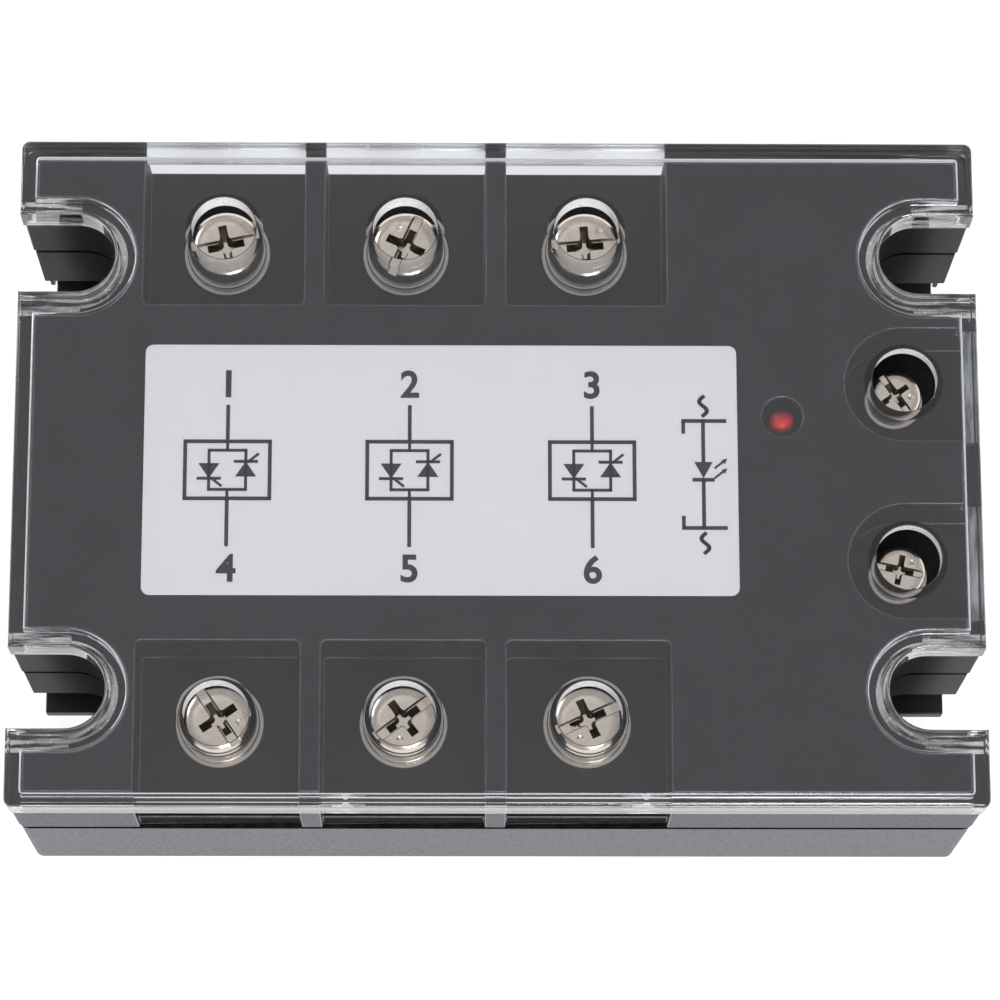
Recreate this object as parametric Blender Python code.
"""Three-phase solid state relay: heat-sink plate, two-part dark housing, clear snap-on cover,
six power terminals and two control terminals with captive clamp screws.

Frame: origin at the centre of the underside, +X along the length towards the control
terminals, +Y across the width, +Z up. All numbers below are in millimetres.
"""
import math

import bpy
import bmesh
from mathutils import Vector

MM = 0.001

# Overall size
LENGTH, WIDTH, HEIGHT = 105.0, 74.5, 33.0
GAP = 0.3

# Heights of the main layers
PLATE_TOP = 2.0
BASE_BOTTOM, BASE_TOP = 0.2, 18.2
DECK_BOTTOM, DECK_LEDGE, DECK_TOP = 18.5, 28.0, 30.7
BAY_FLOOR, BAY_FLOOR_THICKNESS = 22.2, 2.0
COVER_SKIRT_END, COVER_UNDERSIDE = 28.3, 31.2

# Half sizes of the layers, seen from above
PLATE_HALF = (51.3, 36.0)
BASE_HALF = (52.15, 37.1)
DECK_HALF = (52.35, 37.05)
DECK_TOP_HALF = (50.7, 35.4)
COVER_HALF = (LENGTH / 2, WIDTH / 2)
SKIRT = 1.5
BASE_WALL = 1.8
RIM_DEPTH, RIM_WALL = 1.6, 0.7

# Mounting notches, open to both ends
NOTCH_X, NOTCH_Y = 46.4, 24.35
NOTCH_COVER, NOTCH_DECK, NOTCH_DECK_TOP, NOTCH_SKIRT = 4.43, 4.6, 6.8, 6.55
NOTCH_SLOT, NOTCH_POCKET, NOTCH_WELL = 3.5, 6.4, 7.9
POCKET_TOP = 7.5

# Terminals
POWER_X = (-30.08, -10.14, 9.80)
POWER_Y = 26.75
BAY_HALF, BAY_INNER = 8.82, 18.87
FRONT_SETBACK = 36.5
CONTROL_X, CONTROL_Y = 44.0, 9.95
CONTROL_BAY_X, CONTROL_BAY_RADIUS = 44.35, 6.35
SEAT = BAY_FLOOR + 1.0
DRIVER_HOLE, DRIVER_COLLAR = 3.55, 4.3
POWER_COLLAR_END, CONTROL_COLLAR_END = 29.95, 31.0
DRIVER_POWER_Y, DRIVER_CONTROL_X = 27.15, 44.4

POWER_BUSH = {"flange": 4.6, "body": 3.6, "bore": 2.7}
CONTROL_BUSH = {"flange": 3.1, "body": 2.5, "bore": 1.75}

# Clamp screws
POWER_SCREW = {"head_radius": 4.15, "head_height": 2.9, "shank_radius": 2.4, "shank_length": 10.0,
               "slot": 1.3, "cross": 5.0}
CONTROL_SCREW = {"head_radius": 2.9, "head_height": 2.2, "shank_radius": 1.5, "shank_length": 8.5,
                 "slot": 0.9, "cross": 3.4}
CLAMP_PLAY = 0.05
FLAT_WASHER, SPRING_WASHER, CUP_WASHER = 1.0, 0.9, 1.6

# Snap lugs inside the near skirt of the cover
SNAP_X = (-16.5, 15.6)

LED_X, LED_Y, LED_HOLE = 31.1, 6.2, 2.22
LABEL_CENTRE, LABEL_SIZE = (-6.15, 0.12), (64.6, 28.1)

BOARD_TOP, BOARD_THICKNESS = 19.9, 1.6
SUBSTRATE_TOP, CHIP_TOP = 2.9, 3.45
POTTING = (5.2, 10.5)
BUSBAR_WIDTH, BUSBAR_THICKNESS, RISER_Y = 6.0, 1.0, 14.5
BUSBAR_FOOT, BUSBAR_RUN = 3.7, 12.2


# ---------------------------------------------------------------- materials

def material(name, colour, roughness, metallic=0.0, transmission=0.0):
    made = bpy.data.materials.get(name)
    if made:
        return made
    made = bpy.data.materials.new(name)
    made.use_nodes = True
    shader = made.node_tree.nodes["Principled BSDF"]
    shader.inputs["Base Color"].default_value = (*colour, 1.0)
    shader.inputs["Roughness"].default_value = roughness
    shader.inputs["Metallic"].default_value = metallic
    shader.inputs["Transmission Weight"].default_value = transmission
    made.diffuse_color = (*colour, 1.0)
    return made


def housing_plastic():
    return material("housing_plastic", (0.022, 0.023, 0.026), 0.42)


def clear_plastic():
    return material("clear_plastic", (0.95, 0.96, 0.97), 0.04, transmission=1.0)


def nickel():
    return material("nickel", (0.66, 0.61, 0.55), 0.25, 1.0)


def aluminium():
    return material("aluminium", (0.80, 0.81, 0.82), 0.35, 1.0)


def copper():
    return material("copper", (0.80, 0.42, 0.26), 0.3, 1.0)


def label_film():
    return material("label_film", (0.68, 0.68, 0.69), 0.5)


def led_lens():
    return material("led_lens", (0.45, 0.03, 0.03), 0.2)


def ceramic():
    return material("ceramic", (0.88, 0.87, 0.84), 0.5)


def silicon():
    return material("silicon", (0.16, 0.17, 0.20), 0.25, 0.6)


def board_laminate():
    return material("board_laminate", (0.03, 0.16, 0.08), 0.4)


def component_black():
    return material("component_black", (0.03, 0.03, 0.03), 0.5)


def capacitor_case():
    return material("capacitor_case", (0.12, 0.22, 0.45), 0.4)


def silicone_gel():
    return material("silicone_gel", (0.55, 0.50, 0.44), 0.3)


# ---------------------------------------------------------------- outlines

def arc(centre, radius, start, end, steps):
    """Points from one angle to the other, in degrees, both ends included."""
    points = []
    for step in range(steps + 1):
        angle = math.radians(start + (end - start) * step / steps)
        points.append((centre[0] + radius * math.cos(angle), centre[1] + radius * math.sin(angle)))
    return points


def rounded_rectangle(centre, size, corner, steps=4):
    half_x, half_y = size[0] / 2 - corner, size[1] / 2 - corner
    points = []
    for sign_x, sign_y, start in ((1, 1, 0), (-1, 1, 90), (-1, -1, 180), (1, -1, 270)):
        middle = (centre[0] + sign_x * half_x, centre[1] + sign_y * half_y)
        points += arc(middle, corner, start, start + 90, steps)
    return points


def notched_rectangle(half, corner, notch, steps=12):
    """A rectangle whose two short ends each have two U-shaped notches."""
    half_x, half_y = half
    points = []
    for end in (1, -1):
        turn = 0 if end == 1 else 180
        for side in (-1, 1):
            middle = (end * NOTCH_X, end * side * NOTCH_Y)
            mouth = end * half_x
            if side == -1:
                points += arc((end * (half_x - corner), -end * (half_y - corner)), corner,
                              turn - 90, turn, 3)
            points.append((mouth, middle[1] - end * notch))
            points += arc(middle, notch, turn + 270, turn + 90, steps)
            points.append((mouth, middle[1] + end * notch))
            if side == 1:
                points += arc((end * (half_x - corner), end * (half_y - corner)), corner,
                              turn, turn + 90, 3)
    return points


def u_shape(end, side, radius, reach=60.0, steps=12):
    """One notch as a closed outline running out past the end of the body."""
    middle = (end * NOTCH_X, side * NOTCH_Y)
    turn = 0 if end == 1 else 180
    points = [(end * reach, middle[1] - end * radius)]
    points.append((end * reach, middle[1] + end * radius))
    points += arc(middle, radius, turn + 90, turn + 270, steps)
    return points


# ---------------------------------------------------------------- solids

def add_object(name, mesh, surface, place=(0, 0, 0)):
    made = bpy.data.objects.new(name, mesh)
    bpy.context.scene.collection.objects.link(made)
    made.location = Vector(place) * MM
    if surface:
        mesh.materials.append(surface)
    return made


def mesh_from(build, name, smooth=False):
    shape = bmesh.new()
    build(shape)
    bmesh.ops.recalc_face_normals(shape, faces=shape.faces)
    mesh = bpy.data.meshes.new(name)
    shape.to_mesh(mesh)
    shape.free()
    if smooth:
        mesh.set_sharp_from_angle(angle=math.radians(35))
    return mesh


def stack(name, layers, surface=None, place=(0, 0, 0)):
    """A closed solid through outlines of equal length, each at its own height."""
    def build(shape):
        rings = []
        for outline, height in layers:
            rings.append([shape.verts.new((x * MM, y * MM, height * MM)) for x, y in outline])
        for low, high in zip(rings, rings[1:]):
            for index in range(len(low)):
                after = (index + 1) % len(low)
                shape.faces.new((low[index], low[after], high[after], high[index]))
        shape.faces.new(list(reversed(rings[0])))
        shape.faces.new(rings[-1])
    return add_object(name, mesh_from(build, name), surface, place)


def prism(name, outline, low, high, surface=None, place=(0, 0, 0)):
    return stack(name, [(outline, low), (outline, high)], surface, place)


def block(name, low, high, surface=None):
    outline = [(low[0], low[1]), (high[0], low[1]), (high[0], high[1]), (low[0], high[1])]
    return prism(name, outline, low[2], high[2], surface)


def extrude_x(name, profile, low, high, surface):
    """A closed solid from a Y-Z profile drawn out along X."""
    def build(shape):
        rings = []
        for x in (low, high):
            rings.append([shape.verts.new((x * MM, y * MM, z * MM)) for y, z in profile])
        for index in range(len(profile)):
            after = (index + 1) % len(profile)
            shape.faces.new((rings[0][index], rings[0][after], rings[1][after], rings[1][index]))
        shape.faces.new(list(reversed(rings[0])))
        shape.faces.new(rings[1])
    return add_object(name, mesh_from(build, name), surface)


def turned(name, profile, surface=None, place=(0, 0, 0), sides=24):
    """A solid of revolution about +Z. The profile is (radius, height) pairs: a closed loop
    where every radius is over zero, or a line between two points on the axis."""
    def build(shape):
        rings = []
        for radius, height in profile:
            if radius == 0:
                rings.append([shape.verts.new((0, 0, height * MM))])
                continue
            ring = []
            for side in range(sides):
                angle = 2 * math.pi * side / sides
                ring.append(shape.verts.new((radius * math.cos(angle) * MM,
                                             radius * math.sin(angle) * MM, height * MM)))
            rings.append(ring)
        closed = all(radius > 0 for radius, _ in profile)
        pairs = list(zip(rings, rings[1:])) + ([(rings[-1], rings[0])] if closed else [])
        for low, high in pairs:
            for side in range(sides):
                after = (side + 1) % sides
                corners = [low[side % len(low)], low[after % len(low)],
                           high[after % len(high)], high[side % len(high)]]
                shape.faces.new(list(dict.fromkeys(corners)))
        for face in shape.faces:
            face.smooth = True
    return add_object(name, mesh_from(build, name, smooth=True), surface, place)


def boolean(target, tool, operation="DIFFERENCE"):
    tool.hide_render = True
    tool.display_type = "WIRE"
    change = target.modifiers.new(f"{operation.lower()}_{tool.name}", "BOOLEAN")
    change.operation = operation
    change.solver = "EXACT"
    change.object = tool


def round_cutter(name, centre, radius, low, high, sides=24):
    return turned(name, [(0, low), (radius, low), (radius, high), (0, high)],
                  place=(centre[0], centre[1], 0), sides=sides)


# ---------------------------------------------------------------- terminals' places

def power_places():
    """Number, centre and side of the six power terminals: 1 to 3 far, 4 to 6 near."""
    places = []
    for side in (1, -1):
        for x in POWER_X:
            places.append((len(places) + 1, x, side * POWER_Y, side))
    return places


def control_places():
    return [(1, CONTROL_X, CONTROL_Y), (2, CONTROL_X, -CONTROL_Y)]


# ---------------------------------------------------------------- enclosure

def make_base_plate():
    outline = notched_rectangle(PLATE_HALF, 1.0, NOTCH_SLOT)
    prism("base_plate", outline, 0.0, PLATE_TOP, aluminium())


def make_lower_housing():
    body = prism("lower_housing", notched_rectangle(BASE_HALF, 1.0, NOTCH_DECK),
                 BASE_BOTTOM, BASE_TOP, housing_plastic())
    inside = (BASE_HALF[0] - BASE_WALL, BASE_HALF[1] - BASE_WALL)
    boolean(body, prism("cut_lower_room", notched_rectangle(inside, 0.5, NOTCH_WELL), -1.0, 20.0))
    rebate = (2 * (PLATE_HALF[0] + GAP), 2 * (PLATE_HALF[1] + GAP))
    boolean(body, prism("cut_plate_rebate", rounded_rectangle((0, 0), rebate, 1.0),
                        -1.0, PLATE_TOP + GAP))
    for end in (1, -1):
        for side in (1, -1):
            name = f"cut_screw_pocket_{'right' if end > 0 else 'left'}_{'far' if side > 0 else 'near'}"
            boolean(body, prism(name, u_shape(end, side, NOTCH_POCKET), -2.0, POCKET_TOP))


def make_terminal_housing():
    wide = notched_rectangle(DECK_HALF, 1.0, NOTCH_DECK)
    narrow = notched_rectangle(DECK_TOP_HALF, 0.5, NOTCH_DECK_TOP)
    deck = stack("terminal_housing",
                 [(wide, DECK_BOTTOM), (wide, DECK_LEDGE), (narrow, DECK_LEDGE), (narrow, DECK_TOP)],
                 housing_plastic())
    inset = BASE_WALL + GAP
    rim = notched_rectangle((BASE_HALF[0] - inset, BASE_HALF[1] - inset), 0.5, NOTCH_WELL + GAP)
    boolean(deck, prism("add_locating_rim", rim, DECK_BOTTOM - RIM_DEPTH, DECK_BOTTOM + 0.5), "UNION")
    inset += RIM_WALL
    inside = notched_rectangle((BASE_HALF[0] - inset, BASE_HALF[1] - inset), 0.5,
                               NOTCH_WELL + GAP + RIM_WALL)
    boolean(deck, prism("cut_under_floors", inside, DECK_BOTTOM - 3, BAY_FLOOR - BAY_FLOOR_THICKNESS))
    boolean(deck, block("cut_board_room", (-48.5, -15.5, DECK_BOTTOM - 3),
                        (36.3, 15.5, DECK_TOP - 2.0)))
    for number, x, y, side in power_places():
        near, far = sorted((side * BAY_INNER, side * 45.0))
        boolean(deck, block(f"cut_power_bay_{number}", (x - BAY_HALF, near, BAY_FLOOR),
                            (x + BAY_HALF, far, 40.0)))
        boolean(deck, round_cutter(f"cut_terminal_hole_{number}", (x, y), 3.8, 18.0, 24.0))
        if side < 0:
            boolean(deck, block(f"cut_sill_{number}", (x - BAY_HALF, -45.0, 17.0),
                                (x + BAY_HALF, -FRONT_SETBACK, 24.0)))
    for number, x, y in control_places():
        bay = arc((CONTROL_BAY_X, y), CONTROL_BAY_RADIUS, 90, 270, 20)
        bay += [(60.0, y - CONTROL_BAY_RADIUS), (60.0, y + CONTROL_BAY_RADIUS)]
        boolean(deck, prism(f"cut_control_bay_{number}", bay, BAY_FLOOR, 40.0))
        boolean(deck, round_cutter(f"cut_control_hole_{number}", (x, y), 2.8, 18.0, 24.0))
    boolean(deck, round_cutter("cut_led_hole", (LED_X, LED_Y), LED_HOLE, 25.0, 34.0))


def make_cover():
    cover = prism("clear_cover", notched_rectangle(COVER_HALF, 0.9, NOTCH_COVER),
                  COVER_SKIRT_END, HEIGHT, clear_plastic())
    inside = (COVER_HALF[0] - SKIRT, COVER_HALF[1] - SKIRT)
    boolean(cover, prism("cut_cover_room", notched_rectangle(inside, 0.4, NOTCH_SKIRT),
                         COVER_SKIRT_END - 2, COVER_UNDERSIDE))
    holes = [(x, side * DRIVER_POWER_Y) for side in (1, -1) for x in POWER_X]
    collar_ends = [POWER_COLLAR_END] * len(holes) + [CONTROL_COLLAR_END] * 2
    holes += [(DRIVER_CONTROL_X, CONTROL_Y), (DRIVER_CONTROL_X, -CONTROL_Y)]
    for index, (place, end) in enumerate(zip(holes, collar_ends), 1):
        boolean(cover, round_cutter(f"add_collar_{index}", place, DRIVER_COLLAR,
                                    end, COVER_UNDERSIDE + 1.0), "UNION")
    for index, place in enumerate(holes, 1):
        boolean(cover, round_cutter(f"cut_driver_hole_{index}", place, DRIVER_HOLE, 25.0, 40.0))
    face = -COVER_HALF[1] + SKIRT
    for index, x in enumerate(SNAP_X, 1):
        boolean(cover, block(f"add_snap_lug_{index}", (x - 2.7, face - 0.5, 29.0),
                             (x + 2.7, face + 0.25, 29.9)), "UNION")
        boolean(cover, block(f"cut_pry_notch_{index}", (x - 1.5, -45.0, 20.0),
                             (x + 1.5, face - 0.5, COVER_SKIRT_END + 0.45)))


def make_label():
    outline = rounded_rectangle(LABEL_CENTRE, LABEL_SIZE, 0.9)
    prism("label", outline, DECK_TOP + 0.06, DECK_TOP + 0.24, label_film())


# ---------------------------------------------------------------- clamp screws

def make_screw(name, place, surface, head_radius, head_height, shank_radius, shank_length, slot,
               cross):
    """A pan-head screw with a slot across it and a cross recess, origin under its head."""
    edge = head_height * 0.45
    profile = [(0, -shank_length), (shank_radius - 0.4, -shank_length),
               (shank_radius, -shank_length + 0.6), (shank_radius, 0), (head_radius, 0)]
    profile += [(radius, height) for radius, height in
                arc((head_radius - edge, head_height - edge), edge, 0, 90, 3)]
    profile += [(0, head_height)]
    screw = turned(name, profile, surface, place)
    reach = head_radius + 1
    tools = [("slot", (reach, slot / 2), head_height - 1.0, 8.0),
             ("cross", (cross / 2, slot * 0.42), head_height - 1.5, 8.0),
             ("deep", (slot * 0.42, cross * 0.32), head_height - 1.9, 8.0)]
    for label, half, low, high in tools:
        tool = block(f"cut_{name}_{label}", (-half[0], -half[1], low), (half[0], half[1], high))
        tool.location = screw.location
        if label != "slot":
            tool.rotation_euler = (0, 0, math.pi / 2)
        boolean(screw, tool)


def ring(name, place, inner, outer, thickness, surface, sides=24):
    turned(name, [(inner, 0), (outer, 0), (outer, thickness), (inner, thickness)],
           surface, place, sides)


def make_bush(name, place, bottom, surface, flange, body, bore):
    """A threaded terminal bush, its flange standing on the bay floor."""
    low, high = BAY_FLOOR + 0.1, SEAT
    turned(name, [(bore, bottom), (body, bottom), (body, low), (flange, low), (flange, high),
                  (bore, high)], surface, (place[0], place[1], 0))


def make_power_terminals():
    for number, x, y, _ in power_places():
        bottom = BUSBAR_RUN + BUSBAR_THICKNESS + GAP
        make_bush(f"power_terminal_{number}", (x, y), bottom, nickel(), **POWER_BUSH)
        level = SEAT + CLAMP_PLAY
        ring(f"power_washer_{number}", (x, y, level), 2.75, 4.85, FLAT_WASHER, nickel())
        level += FLAT_WASHER + CLAMP_PLAY
        ring(f"spring_washer_{number}", (x, y, level), 2.75, 4.4, SPRING_WASHER, nickel())
        level += SPRING_WASHER + CLAMP_PLAY
        make_screw(f"power_screw_{number}", (x, y, level), nickel(), **POWER_SCREW)


def make_control_terminals():
    for number, x, y in control_places():
        make_bush(f"control_terminal_{number}", (x, y), BOARD_TOP + GAP, nickel(), **CONTROL_BUSH)
        level = SEAT + CLAMP_PLAY
        ring(f"control_washer_{number}", (x, y, level), 1.75, 3.3, CUP_WASHER, nickel())
        level += CUP_WASHER + CLAMP_PLAY
        make_screw(f"control_screw_{number}", (x, y, level), nickel(), **CONTROL_SCREW)


# ---------------------------------------------------------------- internals

def make_power_stack():
    for phase, x in enumerate(POWER_X, 1):
        block(f"ceramic_substrate_{phase}", (x - 8.5, -12.0, PLATE_TOP + 0.1),
              (x + 8.5, 12.0, SUBSTRATE_TOP), ceramic())
    for number, x, y, side in power_places():
        near, far = sorted((side * 3.0, side * 11.0))
        block(f"thyristor_{number}", (x - 4.0, near, SUBSTRATE_TOP + 0.1), (x + 4.0, far, CHIP_TOP),
              silicon())
        foot, run, thick = BUSBAR_FOOT, BUSBAR_RUN, BUSBAR_THICKNESS
        profile = [(4.0, foot), (RISER_Y + thick, foot), (RISER_Y + thick, run), (30.5, run),
                   (30.5, run + thick), (RISER_Y, run + thick), (RISER_Y, foot + thick),
                   (4.0, foot + thick)]
        profile = [(side * across, height) for across, height in profile]
        half = BUSBAR_WIDTH / 2
        extrude_x(f"busbar_{number}", profile, x - half, x + half, copper())


def make_potting():
    gel = block("potting_gel", (-38.0, -34.6, POTTING[0]), (38.0, 34.6, POTTING[1]), silicone_gel())
    half, play = BUSBAR_WIDTH / 2 + GAP, GAP
    for number, x, y, side in power_places():
        near, far = sorted((side * (RISER_Y - play), side * (RISER_Y + BUSBAR_THICKNESS + play)))
        boolean(gel, block(f"cut_riser_{number}", (x - half, near, 0.0), (x + half, far, 16.0)))


def make_control_board():
    low = BOARD_TOP - BOARD_THICKNESS
    board = block("control_board", (-36.0, -14.8, low), (48.8, 14.8, BOARD_TOP), board_laminate())
    for number, x, y in control_places():
        boolean(board, round_cutter(f"cut_board_hole_{number}", (x, y), 2.0, low - 2, BOARD_TOP + 2))
    top = BOARD_TOP + 0.1
    for phase, x in enumerate(POWER_X, 1):
        block(f"optocoupler_{phase}", (x - 4.3, 3.5, top), (x + 4.3, 10.0, top + 3.5),
              component_black())
        block(f"snubber_capacitor_{phase}", (x - 5.5, -10.0, top), (x + 5.5, -4.5, top + 7.5),
              capacitor_case())


def make_status_led():
    shoulder, crown = 24.6, 30.3
    radius = 1.48
    profile = [(0, shoulder), (1.75, shoulder), (1.75, shoulder + 0.9), (radius, shoulder + 0.9)]
    profile += arc((0, crown - radius), radius, 0, 90, 8)[:-1]
    profile += [(0, crown)]
    led = turned("status_led", profile, led_lens(), (LED_X, LED_Y, 0))
    for index, offset in enumerate((-1.27, 1.27), 1):
        lead = block(f"add_led_lead_{index}", (LED_X + offset - 0.25, LED_Y - 0.25, BOARD_TOP + 0.1),
                     (LED_X + offset + 0.25, LED_Y + 0.25, shoulder + 0.4))
        boolean(led, lead, "UNION")


def main():
    for old in list(bpy.data.objects):
        bpy.data.objects.remove(old, do_unlink=True)
    make_base_plate()
    make_lower_housing()
    make_terminal_housing()
    make_cover()
    make_label()
    make_status_led()
    make_power_terminals()
    make_control_terminals()
    make_power_stack()
    make_potting()
    make_control_board()


main()
